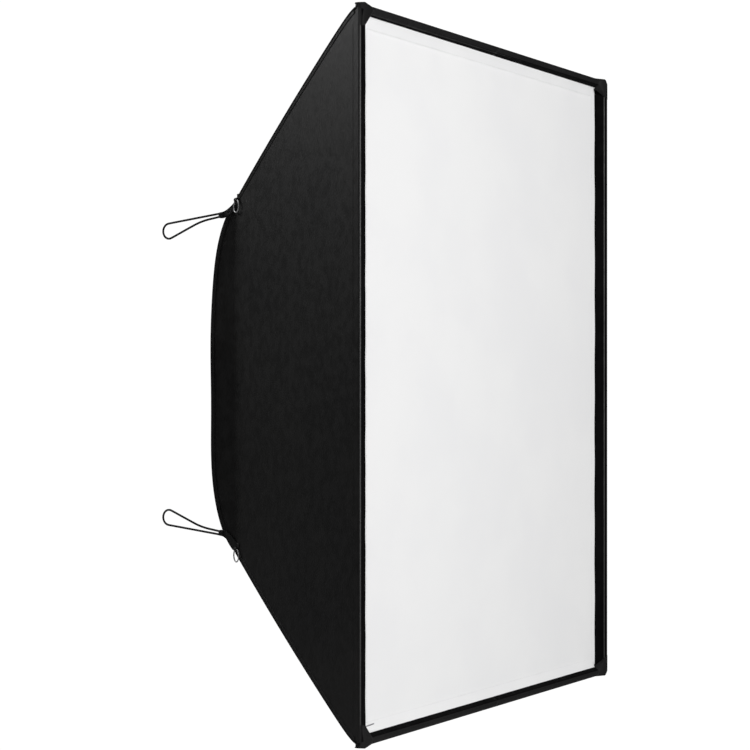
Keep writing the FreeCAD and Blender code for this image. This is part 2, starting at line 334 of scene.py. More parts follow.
SHELL_CLOTH = Finish("shell_cloth", (0.0105, 0.0100, 0.0098), (0.0065, 0.0062, 0.0065), (0.42, 0.52),
                     Relief.WEAVE, 0.7 * MM, 0.16, specular=0.55, sheen=0.03)
HEM_CLOTH = Finish("hem_cloth", (0.0068, 0.0065, 0.0068), (0.0042, 0.0040, 0.0042), (0.62, 0.8),
                   Relief.WEAVE, 1.1 * MM, 0.3, specular=0.25, sheen=0.02)
LOOP_BAND = Finish("loop_band", (0.0026, 0.0025, 0.0027), (0.0013, 0.0012, 0.0014), (0.85, 1.0),
                   Relief.FUZZ, 1.2 * MM, 0.6, specular=0.06, sheen=0.01)
SILVER = Finish("silver_lining", (0.72, 0.72, 0.73), (0.60, 0.60, 0.62), (0.28, 0.40),
                Relief.WEAVE, 2.4 * MM, 0.35, metallic=0.9)
DIFFUSER = Finish("diffuser_cloth", (0.86, 0.86, 0.86), (0.84, 0.84, 0.845), (0.8, 0.9),
                  Relief.WEAVE, 0.5 * MM, 0.05, specular=0.2)
WEBBING = Finish("webbing", (0.012, 0.012, 0.0125), (0.007, 0.007, 0.0075), (0.55, 0.7),
                 Relief.RIB, 1.5 * MM, 0.5, sheen=0.05)
BUNGEE = Finish("bungee", (0.010, 0.010, 0.011), (0.006, 0.006, 0.006), (0.5, 0.65),
                Relief.BRAID, 1.3 * MM, 0.6, sheen=0.04)
STEEL = Finish("ring_steel", (0.90, 0.90, 0.91), (0.80, 0.80, 0.81), (0.30, 0.42), metallic=0.6,
               patch=160.0)
PIN_STEEL = Finish("pin_steel", (0.50, 0.50, 0.52), (0.42, 0.42, 0.44), (0.28, 0.40),
                   Relief.BRUSHED, 0.8 * MM, 0.1, metallic=1.0, anisotropy=0.3, patch=90.0)
ALLOY = Finish("rod_alloy", (0.020, 0.020, 0.022), (0.014, 0.014, 0.016), (0.30, 0.40),
               Relief.BRUSHED, 0.6 * MM, 0.08, metallic=0.85, patch=40.0)
FIBRE = Finish("strut_fibre", (0.030, 0.030, 0.032), (0.020, 0.020, 0.022), (0.22, 0.34),
               Relief.BRAID, 2.2 * MM, 0.08, coat=0.4, patch=30.0)
NYLON = Finish("fitting_nylon", (0.022, 0.022, 0.023), (0.015, 0.015, 0.016), (0.45, 0.6),
               Relief.GRAIN, 0.35 * MM, 0.22, patch=60.0)
THREAD = Finish("thread", (0.020, 0.020, 0.020), (0.012, 0.012, 0.012), (0.6, 0.75),
                Relief.FUZZ, 0.3 * MM, 0.2, sheen=0.1, patch=200.0)
WHITE_THREAD = Finish("white_thread", (0.80, 0.80, 0.80), (0.70, 0.70, 0.70), (0.7, 0.85),
                      Relief.FUZZ, 0.3 * MM, 0.2, patch=200.0)
RIBBON = Finish("tab_ribbon", (0.30, 0.30, 0.31), (0.22, 0.22, 0.23), (0.5, 0.65),
                Relief.RIB, 0.8 * MM, 0.3, patch=90.0)


class NodeTree:
    """Short way to write shader and geometry node trees."""

    def __init__(self, tree: bpy.types.NodeTree) -> None:
        """Wrap a tree."""
        self.tree = tree
        self.count = 0

    def add(self, kind: str, inputs: Optional[Dict[object, object]] = None,
            **settings: object) -> bpy.types.Node:
        """Add one node.

        Args:
            kind: node's type name.
            inputs: value or output socket for each of its inputs, by name or number.
            settings: properties to set on it.

        Returns:
            The node.
        """
        node = self.tree.nodes.new(kind)
        node.location = (self.count * 190, -(self.count % 3) * 160)
        self.count += 1
        for name, value in settings.items():
            setattr(node, name, value)
        for name, value in (inputs or {}).items():
            self.put(value, node.inputs[name])
        return node

    def put(self, value: object, socket: bpy.types.NodeSocket) -> None:
        """Link a socket, or set a plain value, into an input.

        Args:
            value: output socket or value.
            socket: input socket.
        """
        if isinstance(value, bpy.types.NodeSocket):
            self.tree.links.new(value, socket)
        else:
            socket.default_value = value

    def math(self, operation: str, a: object, b: object = 0.0) -> bpy.types.NodeSocket:
        """Add a math node.

        Args:
            operation: its operation.
            a: first value or socket.
            b: second value or socket.

        Returns:
            Its output.
        """
        return self.add("ShaderNodeMath", {0: a, 1: b}, operation=operation).outputs[0]


def new_group(name: str, kind: str, inputs: Dict[str, str], outputs: Dict[str, str]) -> NodeTree:
    """Start a node group with its inputs and outputs.

    Args:
        name: group's name.
        kind: tree's type name, without "NodeTree".
        inputs: kind of each input, by its name.
        outputs: kind of each output, by its name.

    Returns:
        Its empty tree.
    """
    tree = bpy.data.node_groups.new(name, kind + "NodeTree")
    for way, sockets in (("INPUT", inputs), ("OUTPUT", outputs)):
        for label, socket in sockets.items():
            tree.interface.new_socket(label, in_out=way, socket_type="NodeSocket" + socket)
    return NodeTree(tree)


def relief_group(kind: Relief) -> bpy.types.NodeTree:
    """Shared group that turns a position into the height of a fine relief.

    Args:
        kind: relief wanted.

    Returns:
        Group with inputs Vector and Pitch and the output Height.
    """
    name = "Relief " + kind.value
    if name in bpy.data.node_groups:
        return bpy.data.node_groups[name]
    n = new_group(name, "Shader", {"Vector": "Vector", "Pitch": "Float"}, {"Height": "Float"})
    start = n.add("NodeGroupInput")
    end = n.add("NodeGroupOutput")
    size = n.math("DIVIDE", 1.0, start.outputs["Pitch"])
    scaled = n.add("ShaderNodeVectorMath", {0: start.outputs["Vector"], "Scale": size}, operation="SCALE")
    u, v, w = n.add("ShaderNodeSeparateXYZ", {0: scaled.outputs[0]}).outputs

    def hump(value: object) -> bpy.types.NodeSocket:
        """Rounded thread profile."""
        return n.math("ABSOLUTE", n.math("SINE", n.math("MULTIPLY", value, math.pi)))

    if kind is Relief.WEAVE:
        both = n.math("ADD", n.math("FLOOR", u), n.math("FLOOR", v))
        over = n.math("PINGPONG", both, 1.0)
        first = n.math("MULTIPLY", hump(u), over)
        second = n.math("MULTIPLY", hump(v), n.math("SUBTRACT", 1.0, over))
        height = n.math("MAXIMUM", first, second)
    elif kind is Relief.RIB:
        height = n.math("MULTIPLY", hump(u), n.math("ADD", 0.7, n.math("MULTIPLY", hump(v), 0.3)))
    elif kind is Relief.BRAID:
        height = n.math("MULTIPLY", hump(n.math("ADD", u, v)), hump(n.math("SUBTRACT", u, v)))
    elif kind is Relief.BRUSHED:
        stretch = n.add("ShaderNodeCombineXYZ", {0: n.math("MULTIPLY", u, 0.05), 1: v, 2: w})
        height = n.add("ShaderNodeTexNoise", {"Vector": stretch.outputs[0]}).outputs[0]
    else:
        detail = 4.0 if kind is Relief.FUZZ else 1.0
        height = n.add("ShaderNodeTexNoise", {"Vector": scaled.outputs[0], "Detail": detail,
                                              "Roughness": 0.7}).outputs[0]
    n.put(height, end.inputs["Height"])
    return n.tree


def variation_group() -> bpy.types.NodeTree:
    """Shared group of slow, soft variation, for colour and roughness.

    Returns:
        Group with inputs Vector and Scale and the outputs Soft and Fine.
    """
    name = "Soft variation"
    if name in bpy.data.node_groups:
        return bpy.data.node_groups[name]
    n = new_group(name, "Shader", {"Vector": "Vector", "Scale": "Float"},
                  {"Soft": "Float", "Fine": "Float"})
    start = n.add("NodeGroupInput")
    end = n.add("NodeGroupOutput")
    for label, factor in (("Soft", 1.0), ("Fine", 9.0)):
        scale = n.math("MULTIPLY", start.outputs["Scale"], factor)
        noise = n.add("ShaderNodeTexNoise", {"Vector": start.outputs["Vector"], "Scale": scale,
                                             "Detail": 3.0})
        ramp = n.add("ShaderNodeMapRange", {"Value": noise.outputs[0], "From Min": 0.35, "From Max": 0.65},
                     interpolation_type="SMOOTHSTEP")
        n.put(ramp.outputs["Result"], end.inputs[label])
    return n.tree


class Finishes:
    """Makes each finish once and hands out its material."""

    def __init__(self) -> None:
        """Start with nothing made."""
        self.made: Dict[Tuple[str, bool], bpy.types.Material] = {}

    def get(self, finish: Finish, uv: bool = True) -> bpy.types.Material:
        """Material of a finish.

        Args:
            finish: finish wanted.
            uv: True for pieces with a UV map in metres, False for machined pieces.

        Returns:
            The material.
        """
        key = (finish.name, uv)
        if key not in self.made:
            self.made[key] = self.build(finish, uv)
        return self.made[key]

    def build(self, finish: Finish, uv: bool) -> bpy.types.Material:
        """Write the node tree of a finish.

        Args:
            finish: finish wanted.
            uv: True if the relief follows the UV map.

        Returns:
            New material.
        """
        material = bpy.data.materials.new(finish.name if uv else finish.name + "_solid")
        material.use_nodes = True
        n = NodeTree(material.node_tree)
        material.node_tree.nodes.clear()
        place = n.add("ShaderNodeTexCoord")
        mixed = n.add("ShaderNodeGroup", node_tree=variation_group())
        n.put(place.outputs["Object"], mixed.inputs["Vector"])
        n.put(finish.patch, mixed.inputs["Scale"])
        colour = n.add("ShaderNodeMix", data_type="RGBA")
        for socket, value in ((0, mixed.outputs["Soft"]), (6, (*finish.colour, 1)), (7, (*finish.shade, 1))):
            n.put(value, colour.inputs[socket])
        low, high = finish.roughness
        rough = n.add("ShaderNodeMapRange", {"Value": mixed.outputs["Fine"], "To Min": low, "To Max": high})
        shader = n.add("ShaderNodeBsdfPrincipled", {
            "Base Color": colour.outputs[2], "Roughness": rough.outputs["Result"],
            "Metallic": finish.metallic, "Specular IOR Level": finish.specular,
            "Sheen Weight": finish.sheen, "Sheen Roughness": finish.sheen_roughness,
            "Coat Weight": finish.coat, "Anisotropic": finish.anisotropy})
        n.add("ShaderNodeOutputMaterial", {"Surface": shader.outputs[0]})
        if finish.relief is not Relief.NONE:
            relief = n.add("ShaderNodeGroup", node_tree=relief_group(finish.relief))
            n.put(place.outputs["UV" if uv else "Object"], relief.inputs["Vector"])
            n.put(finish.pitch, relief.inputs["Pitch"])
            bump = n.add("ShaderNodeBump", {
                "Strength": finish.bump, "Distance": finish.pitch * finish.relief_depth,
                "Height": relief.outputs["Height"]})
            n.put(bump.outputs[0], shader.inputs["Normal"])
        return material


FINISHES = Finishes()


# --------------------------------------------------------------------------------------------
# Meshes


def placed(name: str, data: bpy.types.ID) -> bpy.types.Object:
    """Make an object and link it to the scene.

    Args:
        name: object's name.
        data: its mesh, curve, light or camera.

    Returns:
        The object.
    """
    thing = bpy.data.objects.new(name, data)
    bpy.context.scene.collection.objects.link(thing)
    return thing


def baked(thing: bpy.types.Object, modifier: bpy.types.Modifier) -> bpy.types.Mesh:
    """Turn an object and its modifier into a plain smooth mesh.

    Args:
        thing: the object.
        modifier: its only modifier, which is removed.

    Returns:
        The object's new mesh.
    """
    state = bpy.context.evaluated_depsgraph_get()
    mesh = bpy.data.meshes.new_from_object(thing.evaluated_get(state))
    thing.modifiers.remove(modifier)
    thing.data = mesh
    mesh.polygons.foreach_set("use_smooth", [True] * len(mesh.polygons))
    return mesh


def new_object(name: str, verts: Array, faces: Sequence[Sequence[int]], finish: Finish,
               uv: Optional[Array] = None, flat_after: Optional[int] = None) -> bpy.types.Object:
    """Make a mesh object with outward faces.

    Args:
        name: object's name.
        verts: vertices, one per row.
        faces: vertex numbers of each face.
        finish: its finish.
        uv: UV in metres for each vertex.
        flat_after: number of smooth faces; the ones after them are flat.

    Returns:
        The object, linked to the scene.
    """
    mesh = bpy.data.meshes.new(name)
    mesh.from_pydata([tuple(v) for v in verts], [], [tuple(f) for f in faces])
    work = bmesh.new()
    work.from_mesh(mesh)
    bmesh.ops.recalc_face_normals(work, faces=work.faces)
    if uv is not None:
        layer = work.loops.layers.uv.new("metres")
        for face in work.faces:
            for loop in face.loops:
                loop[layer].uv = uv[loop.vert.index]
    work.to_mesh(mesh)
    work.free()
    smooth = len(mesh.polygons) if flat_after is None else flat_after
    mesh.polygons.foreach_set("use_smooth", [i < smooth for i in range(len(mesh.polygons))])
    mesh.materials.append(FINISHES.get(finish, uv is not None))
    log.info("piece %s: %d faces", name, len(mesh.polygons))
    return placed(name, mesh)


def grid_normals(points: Array, hint: Array) -> Array:
    """Normals of a grid of points.

    Args:
        points: grid, rows by columns by three.
        hint: direction, or one per point, on the wanted side.

    Returns:
        Unit normals on the hint's side.
    """
    along = np.gradient(points, axis=0)
    across = np.gradient(points, axis=1)
    normal = unit(np.cross(along, across))
    sign = np.sign(np.sum(normal * hint, axis=-1, keepdims=True))
    sign[sign == 0] = 1
    return normal * sign


def grid_uv(points: Array) -> Array:
    """UV in metres for a grid, measured along its middle row and column.

    Args:
        points: grid, rows by columns by three.

    Returns:
        UV for each point.
    """
    rows, columns = points.shape[:2]
    down = points[:, columns // 2]
    steps = np.linalg.norm(np.diff(down, axis=0), axis=1)
    u = np.concatenate([[0], np.cumsum(steps)])
    widths = np.linalg.norm(np.diff(points, axis=1), axis=2)
    v = np.concatenate([np.zeros((rows, 1)), np.cumsum(widths, axis=1)], axis=1)
    v = v - v[:, columns // 2][:, None]
    return np.stack([np.repeat(u[:, None], columns, axis=1), v], axis=-1)


def cloth(name: str, points: Array, hint: Array, thickness: float, finish: Finish) -> bpy.types.Object:
    """Closed sheet with its outer face on the grid.

    Args:
        name: object's name.
        points: grid, rows by columns by three.
        hint: direction, or one per point, of the outer side.
        thickness: cloth's thickness.
        finish: its finish.

    Returns:
        The object.
    """
    rows, columns = points.shape[:2]
    inner = points - grid_normals(points, hint) * thickness
    verts = np.concatenate([points.reshape(-1, 3), inner.reshape(-1, 3)])
    number = np.arange(rows * columns).reshape(rows, columns)
    a, b, c, d = number[:-1, :-1], number[1:, :-1], number[1:, 1:], number[:-1, 1:]
    outer_faces = np.stack([a, b, c, d], axis=-1).reshape(-1, 4)
    inner_faces = outer_faces[:, ::-1] + rows * columns
    loop = np.concatenate([number[0, :-1], number[:-1, -1], number[-1, :0:-1], number[:0:-1, 0]])
    after = np.roll(loop, -1)
    rim = np.stack([loop, after, after + rows * columns, loop + rows * columns], axis=-1)
    faces = np.concatenate([outer_faces, inner_faces, rim])
    uv = grid_uv(points).reshape(-1, 2)
    return new_object(name, verts, faces, finish, np.concatenate([uv, uv]), len(faces) - len(rim))


def sweep(name: str, path: Array, first: Array, second: Array, profile: Array, finish: Finish,
          closed: bool = False) -> bpy.types.Object:
    """Closed profile carried along a path.

    Args:
        name: object's name.
        path: points of the path.
        first: direction of the profile's first coordinate, one or one per point.
        second: direction of its second coordinate, one or one per point.
        profile: outline, points by two.
        finish: its finish.
        closed: True if the path ends where it starts.

    Returns:
        The object.
    """
    count, ring = len(path), len(profile)
    first = np.broadcast_to(first, path.shape)
    second = np.broadcast_to(second, path.shape)
    points = path[:, None] + first[:, None] * profile[None, :, 0:1] + second[:, None] * profile[None, :, 1:2]
    number = np.arange(count * ring).reshape(count, ring)
    after = np.roll(number, -1, axis=1)
    last = number if closed else number[:-1]
    last_after = after if closed else after[:-1]
    follow = np.roll(number, -1, axis=0) if closed else number[1:]
    follow_after = np.roll(after, -1, axis=0) if closed else after[1:]
    faces = [list(f) for f in np.stack([last, last_after, follow_after, follow], axis=-1).reshape(-1, 4)]
    smooth = len(faces)
    if not closed:
        faces += [list(number[0][::-1]), list(number[-1])]
    steps = np.linalg.norm(np.diff(path, axis=0), axis=1)
    along = np.concatenate([[0], np.cumsum(steps)])
    around = np.concatenate([[0], np.cumsum(np.linalg.norm(np.diff(profile, axis=0), axis=1))])
    uv = np.stack([np.repeat(around[None], count, axis=0), np.repeat(along[:, None], ring, axis=1)], -1)
    return new_object(name, points.reshape(-1, 3), faces, finish, uv.reshape(-1, 2), smooth)


def oval(width: float, height: float, count: int = 12, power: float = 2.0) -> Array:
    """Rounded outline.

    Args:
        width: full width.
        height: full height.
        count: points.
        power: 2 for an ellipse, more for squarer ends.

    Returns:
        Points by two.
    """
    a = np.linspace(0, 2 * math.pi, count, endpoint=False)
    c, s = np.cos(a), np.sin(a)
    x = np.sign(c) * np.abs(c) ** (2 / power) * width / 2
    y = np.sign(s) * np.abs(s) ** (2 / power) * height / 2
    return np.stack([x, y], axis=1)


def rounded(corners: Array, rounds: int = 2) -> Array:
    """Line through corners with the corners cut off again and again.

    Args:
        corners: points, two or three components.
        rounds: how often they are cut.

    Returns:
        Points of the rounded line, with the same ends.
    """
    line = np.asarray(corners, dtype=float)
    for _ in range(rounds):
        first = line[:-1] * 0.75 + line[1:] * 0.25
        second = line[:-1] * 0.25 + line[1:] * 0.75
        middle = np.stack([first, second], axis=1).reshape(-1, line.shape[1])
        line = np.concatenate([line[:1], middle[1:-1], line[-1:]])
    return line


def ripple(a: Array, b: Array, size: float, seed: float) -> Array:
    """Gentle unevenness of stretched cloth.

    Args:
        a: first coordinate in metres.
        b: second coordinate in metres.
        size: greatest height.
        seed: shifts the pattern.

    Returns:
        Heights.
    """
    slow = np.sin(9.0 * a + 3.1 * b + seed) * np.cos(5.3 * b - 2.2 * a + 2 * seed)
    quick = np.sin(31.0 * a + 6.0 * b + 3 * seed) * np.cos(17.0 * b + 4.0 * a - seed)
    return size * (0.7 * slow + 0.3 * quick)


@dataclass
class Sewing:
    """Collects stitch lines for each body and makes one mesh of stitches for each."""

    pitch: float = 3.4 * MM
    length: float = 2.3 * MM
    radius: float = 0.32 * MM
    runs: Dict[Tuple[str, str], List[Array]] = field(default_factory=dict)

    def line(self, body: str, path: Array, kind: str = "dark") -> None:
        """Remember one line of stitches."""
        self.runs.setdefault((body, kind), []).append(path)

    def tree(self) -> bpy.types.NodeTree:
        """Geometry nodes that lay stitches along edges.

        Returns:
            The tree.
        """
        n = new_group("Stitch run", "Geometry",
                      {"Geometry": "Geometry", "Pitch": "Float", "Length": "Float", "Radius": "Float",
                       "Material": "Material"}, {"Geometry": "Geometry"})
        start = n.add("NodeGroupInput")
        end = n.add("NodeGroupOutput")
        curve = n.add("GeometryNodeMeshToCurve", {"Mesh": start.outputs["Geometry"]})
        spaced = n.add("GeometryNodeResampleCurve", mode="LENGTH")
        n.put(curve.outputs["Curve"], spaced.inputs["Curve"])
        n.put(start.outputs["Pitch"], spaced.inputs["Length"])
        ball = n.add("GeometryNodeMeshIcoSphere", {"Subdivisions": 1})
        half, thin = n.math("MULTIPLY", start.outputs["Length"], 0.5), start.outputs["Radius"]
        size = n.add("ShaderNodeCombineXYZ", {0: half, 1: thin, 2: thin})
        way = n.add("GeometryNodeInputTangent")
        turn = n.add("FunctionNodeAlignRotationToVector", {"Vector": way.outputs[0]}, axis="X")
        laid = n.add("GeometryNodeInstanceOnPoints", {
            "Points": spaced.outputs["Curve"], "Instance": ball.outputs["Mesh"],
            "Rotation": turn.outputs[0], "Scale": size.outputs[0]})
        real = n.add("GeometryNodeRealizeInstances", {0: laid.outputs[0]})
        painted = n.add("GeometryNodeSetMaterial", {"Geometry": real.outputs[0],
                                                    "Material": start.outputs["Material"]})
        n.put(painted.outputs[0], end.inputs["Geometry"])
        return n.tree

    def build(self) -> None:
        """Make the stitches of every body."""
        tree = self.tree()
        for (body, kind), runs in sorted(self.runs.items()):
            finish = THREAD if kind == "dark" else WHITE_THREAD
            verts: List[Tuple[float, ...]] = []
            edges: List[Tuple[int, int]] = []
            for path in runs:
                first = len(verts)
                verts += [tuple(p) for p in path]
                edges += [(first + i, first + i + 1) for i in range(len(path) - 1)]
            guide = bpy.data.meshes.new("guide")
            guide.from_pydata(verts, edges, [])
            thing = placed(f"{body}_{kind}_stitches", guide)
            work = thing.modifiers.new("stitches", "NODES")
            work.node_group = tree
            values = {"Pitch": self.pitch, "Length": self.length, "Radius": self.radius,
                      "Material": FINISHES.get(finish, False)}
            for item in tree.interface.items_tree:
                if item.in_out == "INPUT" and item.name in values:
                    work[item.identifier] = values[item.name]
            mesh = baked(thing, work)
            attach(thing, body)
            if kind == "white":
                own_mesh(thing)
            log.info("stitches on %s: %d faces", body, len(mesh.polygons))


SEWING = Sewing()


def trim(name: str, body: str, side: Side, end: End, path: Array, first: Array, second: Array,
         profile: Array, finish: Finish) -> bpy.types.Object:
    """Swept piece that is modelled at the top left, moved to its corner and carried by a body.

    Args:
        name: object's name.
        body: body it rides.
        side: side wanted.
        end: end wanted.
        path: points of the path.
        first: direction of the profile's first coordinate.
        second: direction of its second coordinate.
        profile: outline, points by two.
        finish: its finish.

    Returns:
        The object.
    """
    thing = sweep(name, *(mirrored(a, side, end) for a in (path, first, second)), profile, finish)
    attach(thing, body)
    return thing


# --------------------------------------------------------------------------------------------
# Sub-assemblies


@dataclass
class SideCloth:
    """Side panel with its rod sleeve, scalloped skirt, hem, seam bindings, piping and lining."""

    side: Side
    rows_panel: int = 44
    rows_skirt: int = 10
    columns: int = 121
    inner_half: float = 600.5 * MM
    fold_half: float = 590.5 * MM
    fold: Tuple[float, float] = (-10.0 * MM, -6.6 * MM)
    lip_end: Tuple[float, float] = (4.0 * MM, -5.6 * MM)
    hem_width: float = 9 * MM
    hem_share: float = 0.985
    binding_inset: float = 0.6 * MM
    binding_lift: float = 0.1 * MM
    tape_inset: float = 5.2 * MM
    tape_lift: float = 0.45 * MM
    rod_stitches: Tuple[float, float] = (0.018, 0.024)
    seam_stitches: Tuple[float, float] = (4.2 * MM, 6.4 * MM)

    @property
    def body(self) -> str:
        """Body that carries it."""
        return self.side.wing

    def panel_points(self) -> Tuple[Array, Array]:
        """Grid of the outer face, for the left side.

        Returns:
            Points, and the outward hint of each.
        """
        s = SHELL
        v = np.sin(np.linspace(-math.pi / 2, math.pi / 2, self.columns))
        rows, hints = [], []
        rod = vec(s.rod_x, s.rod_y, 0)
        tangent = (s.side_front - rod)[:2]
        front = rounded(np.array([self.lip_end, (2.8 * MM, -7.6 * MM), (-2.0 * MM, -8.1 * MM),
                                  (-7.0 * MM, -7.8 * MM), (self.fold[0] + 1.0 * MM, self.fold[1] - 0.9 * MM),
                                  self.fold, tangent - s.side_run[:2] * 9 * MM, tangent]))
        top = s.seam(np.array([0.0]))[0][2]
        for offset in front[:-1]:
            turned = np.clip((offset[0] - self.fold[0]) / (self.lip_end[0] - self.fold[0]), 0, 1)
            half = self.fold_half + (self.inner_half - self.fold_half) * turned
            if offset[1] > self.fold[1]:
                behind = np.clip((offset[1] - self.fold[1]) / (tangent[1] - self.fold[1]), 0, 1)
                half = self.fold_half + (top - self.fold_half) * behind
            base = rod + vec(offset[0], offset[1], 0)
            rows.append(base + np.outer(v * half, vec(0, 0, 1)))
            hints.append(np.broadcast_to(unit(vec(offset[0], offset[1], 0)), (self.columns, 3)))
        for t in np.linspace(0, 1, self.rows_panel):
            edge = s.seam(np.array([t]))[0]
            half = edge[2]
            base = vec(edge[0], edge[1], 0) + np.outer(v * half, vec(0, 0, 1))
            ease = np.sin(np.pi * t) * (1 - v ** 4)
            lift = ripple(np.full_like(v, t * s.side_length), v * half, 0.9 * MM, 0.7) * ease
            rows.append(base + np.outer(lift, s.side_out))
            hints.append(np.broadcast_to(s.side_out, (self.columns, 3)))
        half = s.rear_height / 2
        depth = s.skirt(v, s.side_skirt)
        for q in np.linspace(0, 1, self.rows_skirt + 1)[1:]:
            y = q * np.maximum(depth, 0.3 * MM)
            flare = -0.9 * MM * np.sin(q * math.pi * 0.5) * np.sin(v * 9.0) * (depth / s.side_skirt)
            x = -s.rear_width / 2 + flare
            rows.append(np.stack([x, y, v * half], axis=1))
            hints.append(np.broadcast_to(vec(-1, 0, 0), (self.columns, 3)))
        return np.array(rows), np.array(hints)

    def build(self) -> None:
        """Make the cloth pieces of this side."""
        s, side = SHELL, self.side
        name = side.label
        points, hints = self.panel_points()
        world = mirrored(points, side)
        panel = cloth(f"{name}_panel_cloth", world, mirrored(hints, side), s.cloth, SHELL_CLOTH)
        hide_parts(f"{name}_side_panel")
        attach(panel, self.body)
        self.edges(points)
        self.lining()
        t = np.linspace(0.01, 0.99, 60)
        for run in self.rod_stitches:
            base = s.seam(np.array([run]))[0]
            z = np.linspace(-base[2] + 20 * MM, base[2] - 20 * MM, 2)
            path = np.stack([np.full(2, base[0]), np.full(2, base[1]), z], axis=1)
            SEWING.line(self.body, mirrored(path + s.side_out * 0.1 * MM, side))
        for end in End:
            for inset in self.seam_stitches:
                SEWING.line(self.body, mirrored(s.seam(t, inset) + s.side_out * 0.9 * MM, side, end))

    def edges(self, points: Array) -> None:
        """Bindings on the seams, the piping on the sleeve and the skirt's hem.

        Args:
            points: grid of the left panel.
        """
        s, side = SHELL, self.side
        for end in End:
            t = np.linspace(0.0, 1.0, 70)
            corner = f"{end.label}_{side.label}"
            trim(f"{corner}_seam_binding", self.body, side, end,
                 s.seam(t, self.binding_inset) + s.side_out * self.binding_lift, s.seam_up, s.side_out,
                 oval(4.6 * MM, 2.6 * MM, 12, 2.6), HEM_CLOTH)
            trim(f"{corner}_seam_tape", self.body, side, end,
                 s.seam(t[1:], self.tape_inset) + s.side_out * self.tape_lift, s.seam_up, s.side_out,
                 oval(6.4 * MM, 0.7 * MM, 10, 6.0), SHELL_CLOTH)
        way = unit(vec(self.fold[0], self.fold[1], 0))
        z = np.linspace(-1, 1, 60) * (self.fold_half - 1 * MM)
        path = vec(s.rod_x + self.fold[0], s.rod_y + self.fold[1], 0) + np.outer(z, vec(0, 0, 1))
        trim(f"{side.label}_front_piping", self.body, side, End.TOP, path, vec(-way[1], way[0], 0), way,
             oval(1.8 * MM, 1.2 * MM, 8), SHELL_CLOTH)
        path = vec(s.rod_x - 2.6 * MM, s.rod_y - 8.1 * MM, 0) + np.outer(z, vec(0, 0, 1))
        trim(f"{side.label}_front_facing", self.body, side, End.TOP, path, vec(1, 0, 0), vec(0, -1, 0),
             oval(10.4 * MM, 1.0 * MM, 12, 5.0), LOOP_BAND)
        skirt = points[-1]
        v = skirt[:, 2] / (s.rear_height / 2)
        edge = skirt[np.abs(v) < self.hem_share]
        way = unit(np.gradient(edge, axis=0))
        inward = unit(np.cross(way, vec(1, 0, 0)))
        inward = inward * np.where(inward[:, 1:2] > 0, -1, 1)
        path = edge + inward * (self.hem_width / 2 - 0.4 * MM) + vec(-0.35 * MM, 0, 0)
        trim(f"{side.label}_skirt_hem", self.body, side, End.TOP, path, inward, vec(-1, 0, 0),
             oval(self.hem_width, 1.5 * MM, 12, 5.0), SHELL_CLOTH)
        SEWING.line(self.body, mirrored(edge + inward * (self.hem_width - 2 * MM) + vec(-1.15 * MM, 0, 0),
                                        side))

    def lining(self) -> None:
        """Silver lining behind the panel."""
        s, side = SHELL, self.side
        v = np.linspace(-1, 1, 61)
        rows = []
        for t in np.linspace(0.024, 0.985, 34):
            edge = s.seam(np.array([t]), s.seam_gap)[0]
            swell = s.bow * 4 * t * (1 - t)
            base = vec(edge[0], edge[1], 0) + np.outer(v * (edge[2] - swell), vec(0, 0, 1))
            rows.append(base - s.side_out * s.lining_depth
                        + np.outer(ripple(np.full_like(v, t), v, 0.25 * MM, 2.0), s.side_out))
        points = mirrored(np.array(rows), side)
        thing = cloth(f"{side.label}_lining_cloth", points, mirrored(-s.side_out, side), s.lining, SILVER)
        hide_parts(f"{side.label}_side_lining")
        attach(thing, self.body)


